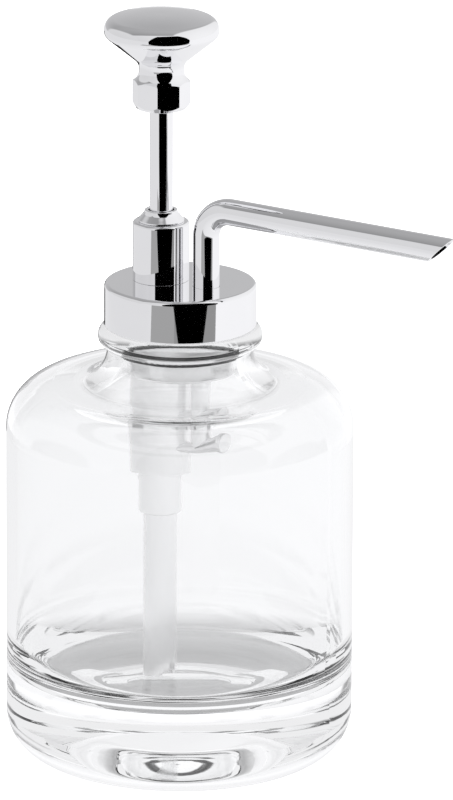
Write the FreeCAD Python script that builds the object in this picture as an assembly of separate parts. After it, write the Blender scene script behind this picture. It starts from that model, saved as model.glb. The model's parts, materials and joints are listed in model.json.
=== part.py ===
import FreeCAD, Part
import math
import os

"""Countertop glass soap dispenser with a lift-out chrome pump head.

Frame: millimetres, +Z up, origin on the bottle's axis at the level it stands on.
+X is the direction of the spout. The plunger stands on the -X side of the head
and the spout's riser on the +X side.
"""

# ---- driving dimensions: bottle -------------------------------------------------
BOTTLE_R = 46.0
WALL = 2.45
BASE_CORNER_R = 12.4
FLOOR_Z = 18.7
FLOOR_MIDDLE_R = 16.0
FLOOR_MIDDLE_BLEND_R = 60.0
FLOOR_EDGE_Z = 24.0
FLOOR_CORNER_R = 13.0
PUNT_R = 24.0
PUNT_TOP_R = 14.4
PUNT_TOP_BLEND_R = 8.0
PUNT_RIM_BLEND_R = 1.6
PUNT_DEPTH = 7.0
SHOULDER_TOP_Z = 102.2
SHOULDER_R = 12.7
SHOULDER_INSIDE_Z = 100.8
SHOULDER_INSIDE_DROP = 2.4
SHOULDER_INSIDE_R = 11.0
NECK_R = 19.3
NECK_COVE_R = 9.0
NECK_BORE_R = 15.0
BEAD_R = 21.7
BEAD_Z = 115.1
BEAD_HALF = 2.6
FINISH_R = 18.4
FINISH_TOP_Z = 126.5

# ---- driving dimensions: head ---------------------------------------------------
COLLAR_R = 20.1
COLLAR_BOTTOM_Z = 118.0
COLLAR_TOP_Z = 129.5
SHELL_T = 0.9
PLUG_R = 14.9
PLUG_SKIRT_R = 14.15
PLUG_BOTTOM_Z = 105.0
SEAL_GROOVE_R = 13.4
SEAL_BOTTOM_Z = 110.5
SEAL_H = 3.0

# ---- driving dimensions: plunger line -------------------------------------------
PLUNGER_X = -5.95
BARREL_R = 8.15
BARREL_SPIGOT_R = 6.9
BARREL_BORE_R = 6.0
BARREL_TOP_Z = 123.0
BARREL_BOTTOM_Z = 79.2
CHAMBER_FLOOR_Z = 84.0
BOSS_R = 7.5
BOSS_TOP_Z = 145.4
RING_TOP_Z = 148.5
ROD_R = 3.1
RUNNING_GAP = 0.05
PISTON_Z = 115.5
PISTON_H = 7.0
KNOB_BOTTOM_Z = 176.15
KNOB_TOP_Z = 201.6
KNOB_R = 15.2
KNOB_FOOT_R = 7.85
KNOB_FLATS_TOP_Z = 183.2
KNOB_WAIST_R = 5.95
KNOB_WAIST_Z = 186.4
KNOB_WAIST_COVE_R = 3.6
FLATS_APART = 14.35
STUD_Z = 180.0
STUD_R = 2.0
STUD_TOP_Z = 194.0

# ---- driving dimensions: outlet and spout ---------------------------------------
ARM_Z = 87.2
ARM_BORE_R = 1.1
ARM_CAP_Z = 89.9
ARM_CAP_R = 3.35
ARM_END_X = 12.3
OUTLET_X = 6.2
OUTLET_R = 2.6
OUTLET_BORE_R = 1.6
SPOUT_X = 7.8
SPOUT_R = 3.55
SPOUT_BORE_R = 2.6
SPOUT_Z = 150.6
SPOUT_DROOP = 1.0
SPOUT_BEND_R = 7.4
SPOUT_TIP_X = 81.6
SPOUT_FOOT_Z = 119.0
SPOUT_SEAL_T = 1.1
OUTLET_BALL_R = 1.7
OUTLET_SEAT_R = 1.2
OUTLET_SEAT_Z = 98.0
OUTLET_CAGE_Z = 102.2

# ---- driving dimensions: suction side -------------------------------------------
VALVE_R = 5.9
VALVE_BOTTOM_Z = 66.0
VALVE_NECK_R = 4.25
BALL_ROOM_R = 3.1
BALL_R = 2.4
SEAT_R = 1.5
SEAT_Z = 74.2
CAGE_Z = 78.9
TUBE_R = 4.55
TUBE_WALL = 0.9
TUBE_BOTTOM_Z = 19.7
SPRING_COIL_R = 4.3
SPRING_WIRE_R = 0.5
SPRING_TURNS = 8

Z_AXIS = FreeCAD.Vector(0, 0, 1)


def rounded_outline(corners):
    """Closed wire in the XZ plane; each corner is (radius, height, rounding)."""
    points = [FreeCAD.Vector(r, 0, z) for r, z, _ in corners]
    count = len(corners)
    edges = []
    first = None
    last = None
    for i in range(count):
        corner = points[i]
        rounding = corners[i][2]
        start = corner
        end = corner
        arc = None
        if rounding > 0:
            back = (points[i - 1] - corner).normalize()
            ahead = (points[(i + 1) % count] - corner).normalize()
            half = back.getAngle(ahead) / 2
            bisector = (back + ahead).normalize()
            start = corner + back * (rounding / math.tan(half))
            end = corner + ahead * (rounding / math.tan(half))
            middle = corner + bisector * (rounding / math.sin(half) - rounding)
            arc = Part.Arc(start, middle, end).toShape()
        if last is not None and start.distanceToPoint(last) > 1e-6:
            edges.append(Part.LineSegment(last, start).toShape())
        if arc is not None:
            edges.append(arc)
        if first is None:
            first = start
        last = end
    if last.distanceToPoint(first) > 1e-6:
        edges.append(Part.LineSegment(last, first).toShape())
    return Part.Wire(edges)


def turned(corners, x=0.0):
    """Solid of revolution about the vertical axis through (x, 0)."""
    face = Part.Face(rounded_outline(corners))
    solid = face.revolve(FreeCAD.Vector(0, 0, 0), Z_AXIS, 360)
    solid.translate(FreeCAD.Vector(x, 0, 0))
    return solid


def rod(radius, low, high, x=0.0):
    """Plain vertical cylinder from one height to another."""
    return Part.makeCylinder(radius, high - low, FreeCAD.Vector(x, 0, low))


def ring(outer, inner, low, high, x=0.0, rounding=0.0):
    """Plain vertical ring with an optional rounding on its four edges."""
    corners = [(inner, low, rounding), (outer, low, rounding)]
    corners += [(outer, high, rounding), (inner, high, rounding)]
    return turned(corners, x)


def along_x(radius, start, end, z):
    """Cylinder along +X at a height."""
    return Part.makeCylinder(radius, end - start, FreeCAD.Vector(start, 0, z), FreeCAD.Vector(1, 0, 0))


# ---- bottle ---------------------------------------------------------------------
def glass_bottle():
    inner_r = BOTTLE_R - WALL
    outer = [
        (0, PUNT_DEPTH, 0),
        (PUNT_TOP_R, PUNT_DEPTH, PUNT_TOP_BLEND_R),
        (PUNT_R, 0, PUNT_RIM_BLEND_R),
        (BOTTLE_R, 0, BASE_CORNER_R),
        (BOTTLE_R, SHOULDER_TOP_Z, SHOULDER_R),
        (NECK_R, SHOULDER_TOP_Z + 0.6, NECK_COVE_R),
        (NECK_R, BEAD_Z - BEAD_HALF, 0.5),
        (BEAD_R, BEAD_Z - BEAD_HALF, 2.3),
        (BEAD_R, BEAD_Z + BEAD_HALF, 2.3),
        (FINISH_R, BEAD_Z + BEAD_HALF, 0.4),
        (FINISH_R, FINISH_TOP_Z, 0.6),
    ]
    inner = [
        (NECK_BORE_R, FINISH_TOP_Z, 0.6),
        (NECK_BORE_R, SHOULDER_INSIDE_Z, NECK_COVE_R + 2.0),
        (inner_r, SHOULDER_INSIDE_Z - SHOULDER_INSIDE_DROP, SHOULDER_INSIDE_R),
        (inner_r, FLOOR_EDGE_Z, FLOOR_CORNER_R),
        (FLOOR_MIDDLE_R, FLOOR_Z, FLOOR_MIDDLE_BLEND_R),
        (0, FLOOR_Z, 0),
    ]
    return turned(outer + inner)


def neck_seal_ring():
    """Soft ring in the plug's groove that seals against the neck's bore."""
    outer_r = NECK_BORE_R - RUNNING_GAP
    inner_r = SEAL_GROOVE_R + RUNNING_GAP
    return ring(outer_r, inner_r, SEAL_BOTTOM_Z, SEAL_BOTTOM_Z + SEAL_H, 0, 0.3)


# ---- pump head ------------------------------------------------------------------
def collar_shell():
    """Thin chromed cap that covers the neck, with holes for the boss and riser."""
    outline = [
        (0, COLLAR_TOP_Z, 0),
        (COLLAR_R, COLLAR_TOP_Z, 1.1),
        (COLLAR_R, COLLAR_BOTTOM_Z, 0.35),
        (COLLAR_R - SHELL_T, COLLAR_BOTTOM_Z, 0.35),
        (COLLAR_R - SHELL_T, COLLAR_TOP_Z - SHELL_T, 0.4),
        (0, COLLAR_TOP_Z - SHELL_T, 0),
    ]
    shell = turned(outline)
    shell = shell.cut(rod(6.45, COLLAR_TOP_Z - 3, COLLAR_TOP_Z + 1, PLUNGER_X))
    return shell.cut(rod(SPOUT_R + RUNNING_GAP, COLLAR_TOP_Z - 3, COLLAR_TOP_Z + 1, SPOUT_X))


def stopper_plug():
    """Moulded plug that fills the neck and carries every other piece of the head."""
    top = COLLAR_TOP_Z - SHELL_T - 0.05
    flange_z = FINISH_TOP_Z + 0.05
    groove_top = SEAL_BOTTOM_Z + SEAL_H + 0.05
    outline = [
        (0, top, 0),
        (COLLAR_R - SHELL_T - 0.35, top, 0.3),
        (COLLAR_R - SHELL_T - 0.35, flange_z, 0.2),
        (PLUG_R, flange_z, 0),
        (PLUG_R, groove_top, 0.3),
        (SEAL_GROOVE_R, groove_top, 0),
        (SEAL_GROOVE_R, SEAL_BOTTOM_Z - 0.05, 0),
        (PLUG_SKIRT_R, SEAL_BOTTOM_Z - 0.05, 0.2),
        (PLUG_SKIRT_R, PLUG_BOTTOM_Z, 0.8),
        (0, PLUG_BOTTOM_Z, 0),
    ]
    plug = turned(outline)
    bores = [
        rod(BARREL_SPIGOT_R + 0.03, PLUG_BOTTOM_Z - 1, BARREL_TOP_Z + 0.05, PLUNGER_X),
        rod(6.43, BARREL_TOP_Z, top + 1, PLUNGER_X),
        rod(OUTLET_R + 0.03, PLUG_BOTTOM_Z - 1, 113.0, OUTLET_X),
        rod(OUTLET_BORE_R, 112, SPOUT_FOOT_Z, OUTLET_X),
        rod(SPOUT_R + 0.05, SPOUT_FOOT_Z - SPOUT_SEAL_T - 0.02, top + 1, SPOUT_X),
    ]
    for bore in bores:
        plug = plug.cut(bore)
    return plug


def plunger_guide():
    """Chromed boss that screws through the collar into the plug."""
    outline = [
        (3.6, BARREL_TOP_Z + 0.3, 0),
        (6.4, BARREL_TOP_Z + 0.3, 0.3),
        (6.4, COLLAR_TOP_Z + 0.02, 0),
        (BOSS_R, COLLAR_TOP_Z + 0.02, 0.05),
        (BOSS_R, BOSS_TOP_Z, 0.8),
        (5.2, BOSS_TOP_Z, 0),
        (5.2, 131.0, 0),
        (3.6, 131.0, 0),
    ]
    return turned(outline, PLUNGER_X)


def guide_bush():
    return ring(5.17, ROD_R + RUNNING_GAP, 131.05, 140.0, PLUNGER_X, 0.3)


def rod_wiper_seal():
    return ring(5.1, ROD_R + RUNNING_GAP, 140.1, 142.4, PLUNGER_X, 0.7)


def guide_ring():
    """Chromed ferrule with a conical nose around the rod."""
    bore_r = ROD_R + 0.3
    outline = [
        (bore_r, 142.5, 0),
        (5.17, 142.5, 0.3),
        (5.17, BOSS_TOP_Z + 0.02, 0),
        (6.1, BOSS_TOP_Z + 0.02, 0.1),
        (6.1, BOSS_TOP_Z + 0.4, 0.2),
        (4.4, RING_TOP_Z - 0.7, 2.0),
        (4.3, RING_TOP_Z, 0.3),
        (bore_r, RING_TOP_Z, 0.2),
    ]
    return turned(outline, PLUNGER_X)


def pump_barrel():
    """Pump cylinder with its side outlet arm and the outlet pipe beside it."""
    barrel = rod(BARREL_R, BARREL_BOTTOM_Z, PLUG_BOTTOM_Z - 0.05, PLUNGER_X)
    spigot = rod(BARREL_SPIGOT_R, BARREL_BOTTOM_Z, BARREL_TOP_Z, PLUNGER_X)
    outlet_pipe = rod(OUTLET_R, ARM_Z, 112.9, OUTLET_X)
    arm = outlet_arm_body()
    body = barrel.fuse([spigot, outlet_pipe, arm])
    cavities = [
        rod(BARREL_BORE_R, CHAMBER_FLOOR_Z, BARREL_TOP_Z + 1, PLUNGER_X),
        rod(VALVE_NECK_R + 0.05, BARREL_BOTTOM_Z - 1, BARREL_BOTTOM_Z + 2.85, PLUNGER_X),
        rod(SEAT_R, BARREL_BOTTOM_Z, CHAMBER_FLOOR_Z + 1, PLUNGER_X),
        along_x(ARM_BORE_R, PLUNGER_X + 4, ARM_END_X + 1, ARM_Z + 0.6),
        rod(OUTLET_SEAT_R, ARM_Z, OUTLET_SEAT_Z + 1, OUTLET_X),
        rod(OUTLET_BALL_R + 0.25, OUTLET_SEAT_Z, 114, OUTLET_X),
    ]
    for cavity in cavities:
        body = body.cut(cavity)
    return body.removeSplitter()


def outlet_arm_body():
    """Arm that starts low and wide at the barrel and flares up to a round end."""
    sections = [(-1.0, ARM_Z, 4.3, 1.75), (6.0, ARM_Z + 0.3, 2.7, 1.85)]
    sections.append((ARM_END_X, ARM_CAP_Z, ARM_CAP_R - 0.3, ARM_CAP_R - 0.3))
    wires = []
    for x, z, half_width, half_height in sections:
        circle = Part.makeCircle(1, FreeCAD.Vector(0, 0, 0), FreeCAD.Vector(1, 0, 0))
        matrix = FreeCAD.Matrix()
        matrix.scale(1, half_width, half_height)
        stretched = Part.Wire([circle]).transformGeometry(matrix)
        stretched.translate(FreeCAD.Vector(x, 0, z))
        wires.append(stretched)
    return Part.makeLoft(wires, True, True)


def outlet_arm_plug():
    """Round cap that closes the moulding hole at the arm's end."""
    cap = along_x(ARM_CAP_R, ARM_END_X + 0.02, ARM_END_X + 1.25, ARM_CAP_Z)
    rim = [e for e in cap.Edges if e.BoundBox.XMin > ARM_END_X + 1]
    cap = cap.makeFillet(0.45, rim)
    stem = along_x(ARM_BORE_R - 0.05, ARM_END_X - 3, ARM_END_X + 0.5, ARM_Z + 0.6)
    return cap.fuse(stem)


def inlet_valve_housing():
    """Stepped housing under the barrel with a seat for the inlet ball."""
    outline = [
        (TUBE_R + 0.03, VALVE_BOTTOM_Z, 0.2),
        (VALVE_R, VALVE_BOTTOM_Z, 0.3),
        (VALVE_R, BARREL_BOTTOM_Z - 0.02, 0.2),
        (VALVE_NECK_R, BARREL_BOTTOM_Z - 0.02, 0),
        (VALVE_NECK_R, BARREL_BOTTOM_Z + 2.8, 0),
        (BALL_ROOM_R, BARREL_BOTTOM_Z + 2.8, 0),
        (BALL_ROOM_R, SEAT_Z + 1.8, 0),
        (SEAT_R, SEAT_Z, 0),
        (SEAT_R, SEAT_Z - 1.2, 0),
        (TUBE_R + 0.03, SEAT_Z - 1.2, 0),
    ]
    return turned(outline, PLUNGER_X)


def dip_tube():
    tube = rod(TUBE_R, TUBE_BOTTOM_Z, 72.9, PLUNGER_X)
    tube = tube.cut(rod(TUBE_R - TUBE_WALL, TUBE_BOTTOM_Z - 1, 74, PLUNGER_X))
    notch = Part.makeBox(3.0, 2 * TUBE_R + 2, 3.0)
    notch.translate(FreeCAD.Vector(PLUNGER_X + 2.4, -TUBE_R - 1, TUBE_BOTTOM_Z - 0.5))
    return tube.cut(notch)


def spout_tube():
    """Bent tube: up from the plug, round a bend and out, drooping slightly, to a slanted mouth."""
    bend_centre = FreeCAD.Vector(SPOUT_X + SPOUT_BEND_R, 0, SPOUT_Z - SPOUT_BEND_R)
    start = FreeCAD.Vector(SPOUT_X, 0, SPOUT_FOOT_Z + 0.05)
    bend_low = FreeCAD.Vector(SPOUT_X, 0, bend_centre.z)
    bend_end_angle = math.radians(90 - SPOUT_DROOP)
    bend_mid_angle = (math.pi + bend_end_angle) / 2
    outward = FreeCAD.Vector(math.cos(bend_mid_angle), 0, math.sin(bend_mid_angle))
    bend_mid = bend_centre + outward * SPOUT_BEND_R
    outward = FreeCAD.Vector(math.cos(bend_end_angle), 0, math.sin(bend_end_angle))
    bend_high = bend_centre + outward * SPOUT_BEND_R
    along = FreeCAD.Vector(outward.z, 0, -outward.x)
    end = bend_high + along * (SPOUT_TIP_X + 6 - bend_high.x)
    path = Part.Wire([
        Part.LineSegment(start, bend_low).toShape(),
        Part.Arc(bend_low, bend_mid, bend_high).toShape(),
        Part.LineSegment(bend_high, end).toShape(),
    ])
    pipes = []
    for radius in (SPOUT_R, SPOUT_BORE_R):
        profile = Part.Wire([Part.makeCircle(radius, start, Z_AXIS)])
        pipes.append(path.makePipeShell([profile], True, False))
    tube = pipes[0].cut(pipes[1])
    cutter = Part.makeBox(30, 30, 30)
    cutter.translate(FreeCAD.Vector(0, -15, -15))
    cutter.rotate(FreeCAD.Vector(0, 0, 0), FreeCAD.Vector(0, 1, 0), 45)
    tip_z = end.z + SPOUT_R + 6 * math.tan(math.radians(SPOUT_DROOP))
    cutter.translate(FreeCAD.Vector(SPOUT_TIP_X, 0, tip_z))
    return tube.cut(cutter)


def spout_seal_ring():
    """Rubber washer between the spout's foot and the plug."""
    low = SPOUT_FOOT_Z - SPOUT_SEAL_T
    return ring(SPOUT_R, 2.1, low, SPOUT_FOOT_Z, SPOUT_X, 0.2)


# ---- piston, rod and knob -------------------------------------------------------
def piston():
    """Piston body with a groove for the cup seal and a pocket for the rod's foot."""
    top = PISTON_Z + PISTON_H
    outline = [
        (0, PISTON_Z, 0),
        (3.5, PISTON_Z, 0.2),
        (3.5, PISTON_Z + 1.2, 0),
        (5.6, PISTON_Z + 1.2, 0.2),
        (5.6, PISTON_Z + 2.0, 0),
        (4.6, PISTON_Z + 2.0, 0),
        (4.6, PISTON_Z + 4.2, 0),
        (5.6, PISTON_Z + 4.2, 0),
        (5.6, top, 0.3),
        (4.35, top, 0),
        (4.35, PISTON_Z + 4.6, 0),
        (0, PISTON_Z + 4.6, 0),
    ]
    return turned(outline, PLUNGER_X)


def piston_cup_seal():
    outline = [
        (4.62, PISTON_Z + 2.05, 0),
        (BARREL_BORE_R - RUNNING_GAP, PISTON_Z + 2.05, 0.3),
        (BARREL_BORE_R - RUNNING_GAP, PISTON_Z + 4.15, 0.3),
        (4.62, PISTON_Z + 4.15, 0),
    ]
    return turned(outline, PLUNGER_X)


def piston_cap():
    """Ring that snaps into the piston and holds the rod's foot down."""
    top = PISTON_Z + PISTON_H
    return ring(4.32, ROD_R + RUNNING_GAP, top - 1.1, top - 0.02, PLUNGER_X, 0.15)


def plunger_rod():
    """Polished rod with a small foot flange below and a reduced stud on top."""
    foot_z = PISTON_Z + 4.65
    foot_top_z = PISTON_Z + PISTON_H - 1.15
    outline = [
        (0, foot_z, 0),
        (4.2, foot_z, 0.2),
        (4.2, foot_top_z, 0.2),
        (ROD_R, foot_top_z, 0),
        (ROD_R, STUD_Z, 0.2),
        (STUD_R, STUD_Z, 0),
        (STUD_R, STUD_TOP_Z, 0.3),
        (0, STUD_TOP_Z, 0),
    ]
    return turned(outline, PLUNGER_X)


def pump_knob():
    """Turned mushroom knob whose foot has eight milled flats."""
    outline = [
        (ROD_R + 0.02, KNOB_BOTTOM_Z, 0),
        (6.6, KNOB_BOTTOM_Z, 0.4),
        (KNOB_FOOT_R, KNOB_BOTTOM_Z + 1.7, 0.5),
        (KNOB_FOOT_R, KNOB_FLATS_TOP_Z, 0.3),
        (KNOB_WAIST_R, KNOB_WAIST_Z - 1.8, KNOB_WAIST_COVE_R),
        (KNOB_WAIST_R, KNOB_WAIST_Z + 1.85, 3.4),
        (KNOB_R, KNOB_TOP_Z - 5.7, 2.2),
        (KNOB_R, KNOB_TOP_Z - 1.8, 3.0),
        (6.0, KNOB_TOP_Z, 50.0),
        (0, KNOB_TOP_Z, 0),
        (0, STUD_TOP_Z + 0.05, 0),
        (STUD_R + 0.03, STUD_TOP_Z + 0.05, 0),
        (STUD_R + 0.03, STUD_Z + 0.02, 0),
        (ROD_R + 0.02, STUD_Z + 0.02, 0),
    ]
    knob = turned(outline)
    flat = Part.makeBox(10, 20, KNOB_WAIST_Z - KNOB_BOTTOM_Z + 1)
    flat.translate(FreeCAD.Vector(FLATS_APART / 2, -10, KNOB_BOTTOM_Z - 1))
    for i in range(8):
        cutter = flat.copy()
        cutter.rotate(FreeCAD.Vector(0, 0, 0), Z_AXIS, 45 * i)
        knob = knob.cut(cutter)
    knob.translate(FreeCAD.Vector(PLUNGER_X, 0, 0))
    return knob


# ---- spring and valve balls -----------------------------------------------------
def return_spring():
    """Open coil spring between the chamber floor and the piston."""
    low = CHAMBER_FLOOR_Z + SPRING_WIRE_R + 0.05
    high = PISTON_Z - SPRING_WIRE_R - 0.05
    helix = Part.makeHelix((high - low) / SPRING_TURNS, high - low, SPRING_COIL_R)
    start = FreeCAD.Vector(SPRING_COIL_R, 0, 0)
    profile = Part.Wire([Part.makeCircle(SPRING_WIRE_R, start, FreeCAD.Vector(0, 1, 0))])
    coil = Part.Wire(helix.Edges).makePipeShell([profile], True, True)
    coil.translate(FreeCAD.Vector(PLUNGER_X, 0, low))
    return coil


def ball_height(ball_r, seat_r, seat_z, half_angle):
    """Centre height of a ball that rests on a conical or sharp-edged seat."""
    if half_angle is None:
        return seat_z + math.sqrt(ball_r ** 2 - seat_r ** 2) + 0.02
    touch_r = ball_r * math.cos(half_angle)
    touch_z = seat_z + (touch_r - seat_r) / math.tan(half_angle)
    return touch_z + ball_r * math.sin(half_angle) + 0.02


def inlet_ball():
    cone = math.atan((BALL_ROOM_R - SEAT_R) / 1.8)
    height = ball_height(BALL_R, SEAT_R, SEAT_Z, cone)
    return Part.makeSphere(BALL_R, FreeCAD.Vector(PLUNGER_X, 0, height))


def outlet_ball():
    height = ball_height(OUTLET_BALL_R, OUTLET_SEAT_R, OUTLET_SEAT_Z, None)
    return Part.makeSphere(OUTLET_BALL_R, FreeCAD.Vector(OUTLET_X, 0, height))


def slotted_cage(outer_r, inner_r, low, height, x):
    """Ring that stops a ball but lets liquid past through two cross slots."""
    cage = ring(outer_r, inner_r, low, low + height, x)
    for size in ((2 * outer_r + 1, 0.8), (0.8, 2 * outer_r + 1)):
        slot = Part.makeBox(size[0], size[1], height / 2)
        slot.translate(FreeCAD.Vector(x - size[0] / 2, -size[1] / 2, low))
        cage = cage.cut(slot)
    return cage


def inlet_ball_cage():
    return slotted_cage(BALL_ROOM_R - 0.03, 2.2, CAGE_Z, 1.0, PLUNGER_X)


def outlet_ball_cage():
    return slotted_cage(OUTLET_BALL_R + 0.22, 1.3, OUTLET_CAGE_Z, 0.9, OUTLET_X)


NODES = [
    glass_bottle, neck_seal_ring, collar_shell, stopper_plug, plunger_guide, guide_bush,
    rod_wiper_seal, guide_ring, pump_barrel, outlet_arm_plug, inlet_valve_housing, dip_tube,
    spout_tube, spout_seal_ring, piston, piston_cup_seal, piston_cap, plunger_rod, pump_knob,
    return_spring, inlet_ball, inlet_ball_cage, outlet_ball, outlet_ball_cage,
]

os.makedirs("parts", exist_ok=True)
for build in NODES:
    shape = build()
    name = build.__name__
    print(name, len(shape.Solids), shape.isValid(), round(shape.Volume, 1))
    shape.exportStep("parts/" + name + ".step")
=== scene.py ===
"""Looks for the countertop soap dispenser: glass bottle, chrome pump head, plastic pump."""

import json
import math

import bmesh
import bpy
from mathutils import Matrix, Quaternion, Vector


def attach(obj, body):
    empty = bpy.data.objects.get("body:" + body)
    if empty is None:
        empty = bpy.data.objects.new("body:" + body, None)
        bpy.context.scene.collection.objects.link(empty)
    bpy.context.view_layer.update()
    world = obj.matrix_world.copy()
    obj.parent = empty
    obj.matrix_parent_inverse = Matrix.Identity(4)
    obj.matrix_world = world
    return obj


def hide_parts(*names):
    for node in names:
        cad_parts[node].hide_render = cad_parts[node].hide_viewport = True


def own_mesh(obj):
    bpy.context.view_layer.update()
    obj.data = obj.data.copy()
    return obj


MM = 0.001
WHITE = (1, 1, 1, 1)
# How much stronger blue is than red and green in every grey.
COOL_TINT = 1.015

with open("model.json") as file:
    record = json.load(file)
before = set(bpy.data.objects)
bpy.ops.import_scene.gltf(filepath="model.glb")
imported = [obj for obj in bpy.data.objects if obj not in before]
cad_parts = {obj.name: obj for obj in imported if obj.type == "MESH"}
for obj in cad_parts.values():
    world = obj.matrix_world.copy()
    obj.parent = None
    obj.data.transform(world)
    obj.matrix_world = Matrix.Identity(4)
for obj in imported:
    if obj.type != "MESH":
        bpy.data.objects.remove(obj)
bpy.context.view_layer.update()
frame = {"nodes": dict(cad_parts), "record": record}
nodes = frame["nodes"]


# ---- materials --------------------------------------------------------------------
# Noise scales are in features per metre, bump depths in metres, and each colour and
# roughness is a pair that the noise runs between.
CHROME = dict(
    scale=90.0, colours=((0.90, 0.90, 0.915), (0.94, 0.94, 0.95)), roughness=(0.012, 0.035), metallic=1.0,
)
GLASS = dict(
    scale=35.0, detail=1.0, colours=((0.985, 0.99, 0.99), (1.0, 1.0, 1.0)), roughness=(0.0, 0.004),
    bump_depth=0.00004,
)
PLASTIC = dict(
    scale=1400.0, colours=((0.90, 0.90, 0.905), (0.94, 0.94, 0.945)), roughness=(0.10, 0.16),
    metallic=0.55, bump_depth=0.00001,
)
RUBBER = dict(
    scale=2500.0, colours=((0.008, 0.008, 0.008), (0.02, 0.02, 0.02)), roughness=(0.45, 0.65),
    bump_depth=0.00003,
)
STEEL = dict(
    scale=900.0, colours=((0.50, 0.50, 0.52), (0.66, 0.66, 0.68)), roughness=(0.18, 0.32), metallic=1.0,
)
GLASS_IOR = 1.5
# Light that has bounced round in the glass more often than this ends in painted reflection: a grey picked
# by noise, which the glass glows with.
DEEP_BOUNCES = 2.5
PAINTED_REFLECTION_GREYS = [(0.0, 0.85), (0.30, 0.95), (0.38, 0.0), (0.52, 0.0), (0.58, 0.9), (1.0, 0.75)]
STREAK_SCALE = 30.0
STREAK_DETAIL = 1.5
STREAK_STRETCH = (1, 1, 4)
# How far those painted streaks fade to an even painted pale grey, by height as a share of GLASS_TOP, in
# metres.
GLASS_TOP = 0.13
CLEAR_BY_HEIGHT = [(0.0, 0.0), (0.17, 0.0), (0.22, 1.0), (0.79, 1.0), (0.83, 0.25), (1.0, 0.25)]
PAINTED_CLEAR_GREY = (0.85, 0.85, 0.86, 1)
# Painted light: a white glow that brightens the pump plastic inside the glass.
PLASTIC_PAINTED_GLOW = 0.1
PLASTIC_COAT = 0.5
PLASTIC_COAT_ROUGHNESS = 0.04


def new_material(name):
    """A node material with its Principled shader."""
    material = bpy.data.materials.new(name)
    material.use_nodes = True
    shader = material.node_tree.nodes["Principled BSDF"]
    return material, material.node_tree, shader


def noise(tree, scale, detail=3.0, stretch=(1, 1, 1)):
    """Noise in the object's own space."""
    place = tree.nodes.new("ShaderNodeTexCoord")
    mapping = tree.nodes.new("ShaderNodeMapping")
    mapping.inputs["Scale"].default_value = stretch
    texture = tree.nodes.new("ShaderNodeTexNoise")
    texture.inputs["Scale"].default_value = scale
    texture.inputs["Detail"].default_value = detail
    tree.links.new(place.outputs["Object"], mapping.inputs["Vector"])
    tree.links.new(mapping.outputs["Vector"], texture.inputs["Vector"])
    return texture.outputs["Fac"]


def map_range(tree, value, low, high, to_low, to_high):
    """Maps low..high to to_low..to_high, and stops at both ends."""
    node = tree.nodes.new("ShaderNodeMapRange")
    node.inputs["From Min"].default_value = low
    node.inputs["From Max"].default_value = high
    node.inputs["To Min"].default_value = to_low
    node.inputs["To Max"].default_value = to_high
    tree.links.new(value, node.inputs["Value"])
    return node.outputs["Result"]


def colour_ramp(tree, value, stops):
    """Colours at positions from 0 to 1."""
    node = tree.nodes.new("ShaderNodeValToRGB")
    elements = node.color_ramp.elements
    elements[0].position = stops[0][0]
    elements[1].position = stops[-1][0]
    for position, _ in stops[1:-1]:
        elements.new(position)
    for element, (_, colour) in zip(elements, stops):
        element.color = (*colour, 1)
    tree.links.new(value, node.inputs["Fac"])
    return node.outputs["Color"]


def grey_ramp(tree, value, stops):
    """Slightly cool greys at positions from 0 to 1."""
    return colour_ramp(tree, value, [(at, (grey, grey, grey * COOL_TINT)) for at, grey in stops])


def calculate(tree, operation, first, second):
    """Math on a value and either another value or a number."""
    node = tree.nodes.new("ShaderNodeMath")
    node.operation = operation
    tree.links.new(first, node.inputs[0])
    if isinstance(second, (int, float)):
        node.inputs[1].default_value = second
    else:
        tree.links.new(second, node.inputs[1])
    return node.outputs["Value"]


def mix_colour(tree, share, colour, other):
    """A linked colour that turns into a fixed one."""
    node = tree.nodes.new("ShaderNodeMix")
    node.data_type = "RGBA"
    tree.links.new(share, node.inputs[0])
    tree.links.new(colour, node.inputs[6])
    node.inputs[7].default_value = other
    return node.outputs[2]


def mix_shader(tree, share, shader, other):
    """A shader that turns into another."""
    node = tree.nodes.new("ShaderNodeMixShader")
    tree.links.new(share, node.inputs[0])
    tree.links.new(shader, node.inputs[1])
    tree.links.new(other, node.inputs[2])
    return node.outputs["Shader"]


def surface(name, scale, colours, roughness, detail=3.0, metallic=0.0, bump_depth=0.0):
    """Material whose colour, roughness and height follow one noise."""
    material, tree, shader = new_material(name)
    grain = noise(tree, scale, detail)
    tree.links.new(colour_ramp(tree, grain, list(zip((0, 1), colours))), shader.inputs["Base Color"])
    tree.links.new(map_range(tree, grain, 0, 1, *roughness), shader.inputs["Roughness"])
    shader.inputs["Metallic"].default_value = metallic
    if bump_depth:
        bump = tree.nodes.new("ShaderNodeBump")
        bump.inputs["Distance"].default_value = bump_depth
        tree.links.new(grain, bump.inputs["Height"])
        tree.links.new(bump.outputs["Normal"], shader.inputs["Normal"])
    return material, tree, shader


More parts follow.
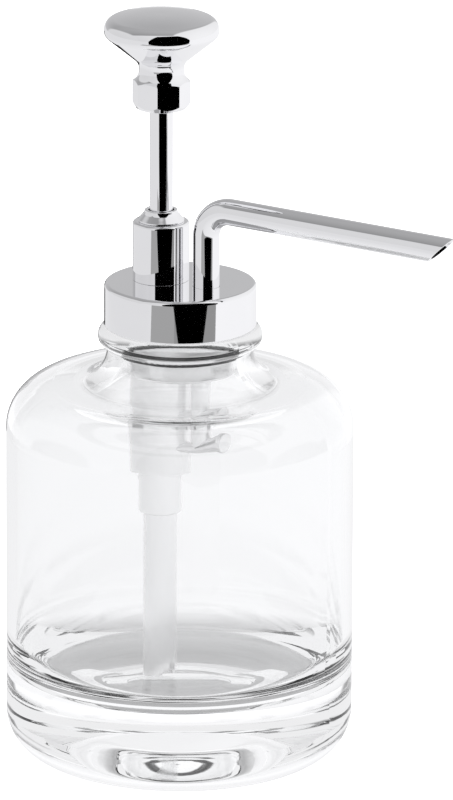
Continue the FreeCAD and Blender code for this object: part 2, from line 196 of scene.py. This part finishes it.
def glass_material():
    """Clear glass that, where light has bounced round inside it, glows with painted reflections: pale and
    dark streaks.
    """
    material, tree, shader = surface("clear_glass", **GLASS)
    shader.inputs["Transmission Weight"].default_value = 1.0
    shader.inputs["IOR"].default_value = GLASS_IOR
    painted_streaks = grey_ramp(tree, noise(tree, STREAK_SCALE, STREAK_DETAIL, STREAK_STRETCH), PAINTED_REFLECTION_GREYS)
    place = tree.nodes.new("ShaderNodeTexCoord")
    height = tree.nodes.new("ShaderNodeSeparateXYZ")
    tree.links.new(place.outputs["Object"], height.inputs["Vector"])
    level = map_range(tree, height.outputs["Z"], 0, GLASS_TOP, 0, 1)
    # Painted reflection: past DEEP_BOUNCES the glass glows with these greys instead of tracing the light
    # further.
    painted_reflection = tree.nodes.new("ShaderNodeEmission")
    faded = mix_colour(tree, grey_ramp(tree, level, CLEAR_BY_HEIGHT), painted_streaks, PAINTED_CLEAR_GREY)
    tree.links.new(faded, painted_reflection.inputs["Color"])
    path = tree.nodes.new("ShaderNodeLightPath")
    deep = calculate(tree, "GREATER_THAN", path.outputs["Glossy Depth"], DEEP_BOUNCES)
    glass = mix_shader(tree, deep, shader.outputs["BSDF"], painted_reflection.outputs["Emission"])
    tree.links.new(glass, tree.nodes["Material Output"].inputs["Surface"])
    return material


def plastic_material():
    """Pale glossy plastic with painted light: a faint white glow that lifts it where the glass round it
    keeps light off.
    """
    material, _, shader = surface("glossy_pump_plastic", **PLASTIC)
    shader.inputs["Emission Color"].default_value = WHITE
    shader.inputs["Emission Strength"].default_value = PLASTIC_PAINTED_GLOW
    shader.inputs["Coat Weight"].default_value = PLASTIC_COAT
    shader.inputs["Coat Roughness"].default_value = PLASTIC_COAT_ROUGHNESS
    return material


MATERIALS = {
    "glass": glass_material(),
    "chrome": surface("polished_chrome", **CHROME)[0],
    "white_plastic": plastic_material(),
    "black_rubber": surface("black_rubber", **RUBBER)[0],
    "steel": surface("drawn_steel", **STEEL)[0],
}


def paint_cad_nodes():
    """Gives every CAD node the material of its slot."""
    for entry in frame["record"]["subparts"]:
        piece = nodes[entry["node"]]
        piece.data.materials.clear()
        piece.data.materials.append(MATERIALS[entry["material_slot"]])


paint_cad_nodes()


# ---- pieces made here ---------------------------------------------------------------
# Edges with more degrees than this between their faces stay sharp.
SHARP_EDGE = 35.0


def add_object(name, data):
    """Puts a mesh or a camera in the scene."""
    piece = bpy.data.objects.new(name, data)
    bpy.context.scene.collection.objects.link(piece)
    return piece


def swept_rings(path, radius, sides):
    """Rings of points round a path in the XZ plane, made of (centre, direction) pairs in metres."""
    rings = []
    for centre, direction in path:
        side = Vector((0, 1, 0))
        up = direction.cross(side).normalized()
        ring = []
        for i in range(sides):
            angle = 2 * math.pi * i / sides
            ring.append(centre + (side * math.cos(angle) + up * math.sin(angle)) * radius)
        rings.append(ring)
    return rings


def skin(name, rings, closed, body, slot_name, stands_for):
    """Smooth piece skinned over rings of points, which rides on a body in place of a CAD node."""
    mesh = bpy.data.meshes.new(name)
    shape = bmesh.new()
    loops = [[shape.verts.new(point) for point in ring] for ring in rings]
    pairs = list(zip(loops, loops[1:]))
    if closed:
        pairs.append((loops[-1], loops[0]))
    for low, high in pairs:
        for i in range(len(low)):
            j = (i + 1) % len(low)
            shape.faces.new((low[i], low[j], high[j], high[i]))
    if not closed:
        shape.faces.new(loops[0])
        shape.faces.new(loops[-1])
    bmesh.ops.recalc_face_normals(shape, faces=shape.faces)
    shape.to_mesh(mesh)
    shape.free()
    mesh.shade_smooth()
    mesh.set_sharp_from_angle(angle=math.radians(SHARP_EDGE))
    mesh.materials.append(MATERIALS[slot_name])
    piece = add_object(name, mesh)
    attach(piece, body)
    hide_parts(stands_for)
    return piece


# The spout, in mm and degrees: a riser, a bend, and an arm that droops a little.
SPOUT_X = 7.8
SPOUT_FOOT_Z = 119.05
SPOUT_RISER_MIDDLE_Z = 130.0
SPOUT_Z = 150.6
SPOUT_R = 3.55
SPOUT_BORE_R = 2.6
SPOUT_BEND_R = 7.4
SPOUT_DROOP = 1.0
SPOUT_TIP_X = 81.59
SPOUT_SIDES = 96
BEND_STEPS = 48
ARM_SHARES = (0.3, 0.6, 0.85, 1.0)


def spout_path():
    """Up the riser, round the bend and out along the arm to its tip."""
    path = []
    for height in (SPOUT_FOOT_Z, SPOUT_RISER_MIDDLE_Z, SPOUT_Z - SPOUT_BEND_R):
        path.append((Vector((SPOUT_X, 0, height)) * MM, Vector((0, 0, 1))))
    bend_x = SPOUT_X + SPOUT_BEND_R
    for i in range(1, BEND_STEPS + 1):
        angle = math.radians(180 - (90 + SPOUT_DROOP) * i / BEND_STEPS)
        out = Vector((math.cos(angle), 0, math.sin(angle)))
        centre = Vector((bend_x, 0, SPOUT_Z - SPOUT_BEND_R)) + out * SPOUT_BEND_R
        path.append((centre * MM, Vector((out.z, 0, -out.x))))
    centre, ahead = path[-1]
    arm = (SPOUT_TIP_X * MM - centre.x) / ahead.x
    for share in ARM_SHARES:
        path.append((centre + ahead * (arm * share), ahead))
    return path


def make_spout():
    """Tube whose last ring is slid along the arm onto the slanted plane of the mouth."""
    path = spout_path()
    tip, ahead = path[-1]
    slant = Vector((1, 0, -1)).normalized()
    corner = tip + Vector((0, 0, SPOUT_R * MM))
    skins = []
    for radius in (SPOUT_R, SPOUT_BORE_R):
        rings = swept_rings(path, radius * MM, SPOUT_SIDES)
        rings[-1] = [p + ahead * ((corner - p).dot(slant) / ahead.dot(slant)) for p in rings[-1]]
        skins.append(rings)
    skin("spout", skins[0] + skins[1][::-1], True, "pump_head", "chrome", "spout_tube")


# The return spring, in mm.
SPRING_X = -5.95
SPRING_FLOOR_Z = 84.0
SPRING_TOP_Z = 115.5
SPRING_COIL_R = 4.3
SPRING_WIRE_R = 0.5
SPRING_GAP = 0.05
SPRING_TURNS = 8
STEPS_PER_TURN = 32
WIRE_SIDES = 12


def make_spring():
    """Coil spring between the chamber's floor and the plunger, riding on the pump head."""
    low = SPRING_FLOOR_Z + SPRING_WIRE_R + SPRING_GAP
    rise = SPRING_TOP_Z - SPRING_WIRE_R - SPRING_GAP - low
    steps = SPRING_TURNS * STEPS_PER_TURN
    rings = []
    for i in range(steps + 1):
        turn = 2 * math.pi * SPRING_TURNS * i / steps
        out = Vector((math.cos(turn), math.sin(turn), 0))
        centre = Vector((SPRING_X, 0, low + rise * i / steps)) + out * SPRING_COIL_R
        ring = []
        for j in range(WIRE_SIDES):
            angle = 2 * math.pi * j / WIRE_SIDES
            across = out * math.cos(angle) + Vector((0, 0, math.sin(angle)))
            ring.append((centre + across * SPRING_WIRE_R) * MM)
        rings.append(ring)
    spring = skin("coil_spring", rings, False, "pump_head", "steel", "return_spring")
    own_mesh(spring)


make_spout()
make_spring()


# ---- studio -----------------------------------------------------------------------
# The camera: degrees and metres.
VIEW_AZIMUTH = 30.0
VIEW_ELEVATION = 16.8
VIEW_ROLL = 0.28
CAMERA_DISTANCE = 2.64
VIEW_HEIGHT = 0.2112
AIM_HEIGHT = 0.097
AIM_RIGHT = 0.01225
SENSOR_MM = 36
CLIP_START = 0.1
CLIP_END = 50
# Greys of the room by pitch, in degrees: 0 is the front horizon, 90 the zenith, 180 the back horizon.
ROOM = [
    (-180, 0.60), (-150, 0.72), (-90, 0.80), (0, 0.80), (64, 0.82), (66, 0.34),
    (80, 0.38), (98, 0.42), (120, 0.44), (141, 0.42), (163, 0.53), (180, 0.60),
]
# Pale side walls, which fade in between two sideways parts of a ray, from -1 to 1.
WALL_COLOUR = (0.84, 0.84, 0.85, 1)
CEILING_RIGHT_EDGE = (0.26, 0.34)
CEILING_LEFT_EDGE = (-0.78, -0.70)
# How the room's brightness changes from its far left to its far right.
LEFT_TO_RIGHT = (0.84, 1.14)
# Greys seen through the glass, by pitch above or below the horizon from -90 to 90.
THROUGH_GLASS = [
    (-90, 0.80), (-12, 0.92), (0, 0.95), (10, 0.80), (30, 0.68), (48, 0.78), (50, 0.05),
    (55, 0.05), (57, 0.85), (65, 0.85), (67, 0.10), (73, 0.10), (75, 0.85), (90, 0.85),
]
# The glass also sees dark cards on the far left and right, by the sideways part of a ray.
LEFT_CARD = (-0.90, -0.86)
RIGHT_CARD = (0.86, 0.90)
CARD_GREY = 0.12
# How strongly each kind of ray sees the surroundings.
ROOM_STRENGTH = 1.0
THROUGH_GLASS_STRENGTH = 1.25
DIFFUSE_STRENGTH = 1.15
BACKGROUND_STRENGTH = 1.05
# The floor, which is wide enough to pass for endless.
FLOOR_RADIUS = 6.0
FLOOR_SIDES = 96
FLOOR_NOISE_SCALE = 3.0
FLOOR_COLOURS = [(0, (0.90, 0.90, 0.90)), (1, (0.93, 0.93, 0.93))]
FLOOR_ROUGHNESS = 0.6
FLOOR_GLOW = 0.80
# What reflections and the glass see of the floor, in metres: painted light, greys from its darker left to
# its brighter right, and through the glass a painted shadow, a darker patch under the bottle that fades
# out between two radii.
FLOOR_PAINTED_LIGHT_GREYS = (0.78, 0.98)
FLOOR_PAINTED_LIGHT_REACH = 0.35
FLOOR_PAINTED_SHADOW_UNDER_BOTTLE = 0.5
FLOOR_THROUGH_GLASS = 1.1
FLOOR_PAINTED_SHADOW_EDGE = (0.044, 0.072)
# Cards that only reflections see: how far off (m), turned how far right of the camera, which
# (degrees right of the camera, height in mm) corners, and how bright.
CARDS = {
    "black_panel": (0.28, 15.0, [
        (3, 32), (27, 31), (40, 43), (47, 52), (53, 66), (56, 92), (56, 200), (42, 600),
        (-12, 600), (-26, 200), (-26, 92), (-24, 66), (-18, 52), (-9, 43),
    ], 0.0),
    "grey_panel": (0.31, 15.0, [(-12, 4), (53, 4), (58, 60), (-12, 60)], 0.30),
    "grey_wing": (0.33, -22.0, [(-46, 4), (-8, 4), (-8, 60), (-39, 60)], 0.38),
    "back_card": (0.30, -168.0, [(-179, 1), (-156, 1), (-156, 125), (-179, 125)], 0.03),
}


def toward(azimuth, elevation):
    """Unit vector from the object toward a direction given in degrees."""
    a = math.radians(azimuth)
    e = math.radians(elevation)
    return Vector((math.sin(a) * math.cos(e), -math.cos(a) * math.cos(e), math.sin(e)))


def make_camera():
    """Long lens, with VIEW_HEIGHT filling the picture from bottom to top at the object."""
    right = toward(VIEW_AZIMUTH + 90, 0)
    target = right * AIM_RIGHT + Vector((0, 0, AIM_HEIGHT))
    camera = add_object("camera", bpy.data.cameras.new("camera"))
    back = toward(VIEW_AZIMUTH, VIEW_ELEVATION)
    camera.location = target + back * CAMERA_DISTANCE
    camera.rotation_mode = "QUATERNION"
    upright = (-back).to_track_quat("-Z", "Y")
    camera.rotation_quaternion = upright @ Quaternion((0, 0, 1), math.radians(VIEW_ROLL))
    camera.data.sensor_width = SENSOR_MM
    camera.data.lens = SENSOR_MM * CAMERA_DISTANCE / VIEW_HEIGHT
    camera.data.clip_start = CLIP_START
    camera.data.clip_end = CLIP_END
    bpy.context.scene.camera = camera


def flat_light(name, strength):
    """Plain white emission."""
    material = bpy.data.materials.new(name)
    material.use_nodes = True
    tree = material.node_tree
    tree.nodes.clear()
    glow = tree.nodes.new("ShaderNodeEmission")
    glow.inputs["Color"].default_value = WHITE
    glow.inputs["Strength"].default_value = strength
    output = tree.nodes.new("ShaderNodeOutputMaterial")
    tree.links.new(glow.outputs["Emission"], output.inputs["Surface"])
    return material


def make_card(name, distance, turn, corners, strength):
    """Flat upright polygon, turned to face the object, that only reflections see."""
    middle = math.radians(VIEW_AZIMUTH + turn)
    ahead = Vector((math.sin(middle), -math.cos(middle), 0)) * distance
    across = Vector((math.cos(middle), math.sin(middle), 0))
    outline = []
    for degrees, height in corners:
        shift = distance * math.tan(math.radians(degrees - turn))
        outline.append(ahead + across * shift + Vector((0, 0, height * MM)))
    mesh = bpy.data.meshes.new(name)
    shape = bmesh.new()
    shape.faces.new([shape.verts.new(corner) for corner in outline])
    shape.to_mesh(mesh)
    shape.free()
    mesh.materials.append(flat_light(name, strength))
    piece = add_object(name, mesh)
    piece.visible_camera = False
    piece.visible_diffuse = False
    piece.visible_shadow = False
    piece.visible_transmission = False


def along(tree, vector, direction):
    """How far a vector reaches in a direction."""
    dot = tree.nodes.new("ShaderNodeVectorMath")
    dot.operation = "DOT_PRODUCT"
    dot.inputs[1].default_value = direction
    tree.links.new(vector, dot.inputs[0])
    return dot.outputs["Value"]


def scaled(tree, colour, share):
    """A colour made darker or brighter."""
    node = tree.nodes.new("ShaderNodeVectorMath")
    node.operation = "SCALE"
    tree.links.new(colour, node.inputs[0])
    tree.links.new(share, node.inputs["Scale"])
    return node.outputs["Vector"]


def make_world():
    """A bright studio: pale walls, and a darker ceiling that ends in a sharp front edge.

    Reflections see the room, and the glass sees the greys listed for it. The camera and
    diffuse light see plain white.
    """
    world = bpy.data.worlds.new("studio")
    bpy.context.scene.world = world
    world.use_nodes = True
    tree = world.node_tree
    tree.nodes.clear()
    ray = tree.nodes.new("ShaderNodeTexCoord").outputs["Generated"]
    height = along(tree, ray, Vector((0, 0, 1)))
    right = along(tree, ray, toward(VIEW_AZIMUTH + 90, 0))
    pitch = calculate(tree, "ARCTAN2", height, along(tree, ray, toward(VIEW_AZIMUTH, 0)))
    turn = map_range(tree, pitch, -math.pi, math.pi, 0, 1)
    room = grey_ramp(tree, turn, [((p + 180) / 360, grey) for p, grey in ROOM])
    past_right_edge = map_range(tree, right, *CEILING_RIGHT_EDGE, 0, 1)
    past_left_edge = map_range(tree, right, *CEILING_LEFT_EDGE, 1, 0)
    beside = calculate(tree, "MAXIMUM", past_right_edge, past_left_edge)
    walled = mix_colour(tree, beside, room, WALL_COLOUR)
    shaded = scaled(tree, walled, map_range(tree, right, -1, 1, *LEFT_TO_RIGHT))
    through_stops = [((math.sin(math.radians(p)) + 1) / 2, grey) for p, grey in THROUGH_GLASS]
    through = grey_ramp(tree, map_range(tree, height, -1, 1, 0, 1), through_stops)
    left_card = map_range(tree, right, *LEFT_CARD, CARD_GREY, 1)
    right_card = map_range(tree, right, *RIGHT_CARD, 1, CARD_GREY)
    carded = scaled(tree, through, calculate(tree, "MULTIPLY", left_card, right_card))
    path = tree.nodes.new("ShaderNodeLightPath")
    looks = [
        (None, shaded, ROOM_STRENGTH),
        ("Is Transmission Ray", carded, THROUGH_GLASS_STRENGTH),
        ("Is Diffuse Ray", None, DIFFUSE_STRENGTH),
        ("Is Camera Ray", None, BACKGROUND_STRENGTH),
    ]
    result = None
    for kind, colour, strength in looks:
        light = tree.nodes.new("ShaderNodeBackground")
        light.inputs["Color"].default_value = WHITE
        light.inputs["Strength"].default_value = strength
        if colour is not None:
            tree.links.new(colour, light.inputs["Color"])
        sky = light.outputs["Background"]
        result = sky if kind is None else mix_shader(tree, path.outputs[kind], result, sky)
    output = tree.nodes.new("ShaderNodeOutputWorld")
    tree.links.new(result, output.inputs["Surface"])


def make_floor():
    """Pale floor, lit evenly for the camera so that it fades into the background; reflections and the
    glass see painted light and a painted shadow on it.
    """
    mesh = bpy.data.meshes.new("floor")
    disc = bmesh.new()
    bmesh.ops.create_circle(disc, cap_ends=True, segments=FLOOR_SIDES, radius=FLOOR_RADIUS)
    disc.to_mesh(mesh)
    disc.free()
    material, tree, shader = new_material("pale_floor")
    tint = colour_ramp(tree, noise(tree, FLOOR_NOISE_SCALE), FLOOR_COLOURS)
    tree.links.new(tint, shader.inputs["Base Color"])
    shader.inputs["Roughness"].default_value = FLOOR_ROUGHNESS
    shader.inputs["Specular IOR Level"].default_value = 0.0
    shader.inputs["Emission Color"].default_value = WHITE
    shader.inputs["Emission Strength"].default_value = FLOOR_GLOW
    # What reflections and the glass see of the floor is painted light: darker on the left than on the
    # right, with a painted shadow under the bottle.
    place = tree.nodes.new("ShaderNodeTexCoord").outputs["Object"]
    right = along(tree, place, toward(VIEW_AZIMUTH + 90, 0))
    grey = map_range(tree, right, -FLOOR_PAINTED_LIGHT_REACH, FLOOR_PAINTED_LIGHT_REACH, *FLOOR_PAINTED_LIGHT_GREYS)
    from_centre = tree.nodes.new("ShaderNodeVectorMath")
    from_centre.operation = "LENGTH"
    tree.links.new(place, from_centre.inputs[0])
    painted_shadow_patch = map_range(
        tree, from_centre.outputs["Value"], *FLOOR_PAINTED_SHADOW_EDGE, FLOOR_PAINTED_SHADOW_UNDER_BOTTLE, FLOOR_THROUGH_GLASS
    )
    path = tree.nodes.new("ShaderNodeLightPath")
    # Reflections take 1 here, and the glass takes the painted shadow patch.
    seen = map_range(tree, path.outputs["Is Transmission Ray"], 0, 1, 1, 1)
    tree.links.new(painted_shadow_patch, seen.node.inputs["To Max"])
    glow = tree.nodes.new("ShaderNodeEmission")
    glow.inputs["Color"].default_value = (1.0, 1.0, COOL_TINT, 1)
    tree.links.new(calculate(tree, "MULTIPLY", grey, seen), glow.inputs["Strength"])
    both = mix_shader(
        tree, path.outputs["Is Camera Ray"], glow.outputs["Emission"], shader.outputs["BSDF"]
    )
    tree.links.new(both, tree.nodes["Material Output"].inputs["Surface"])
    mesh.materials.append(material)
    add_object("floor", mesh)


make_camera()
make_world()
make_floor()
for card_name, card in CARDS.items():
    make_card(card_name, *card)
bpy.context.scene.view_settings.view_transform = "Standard"
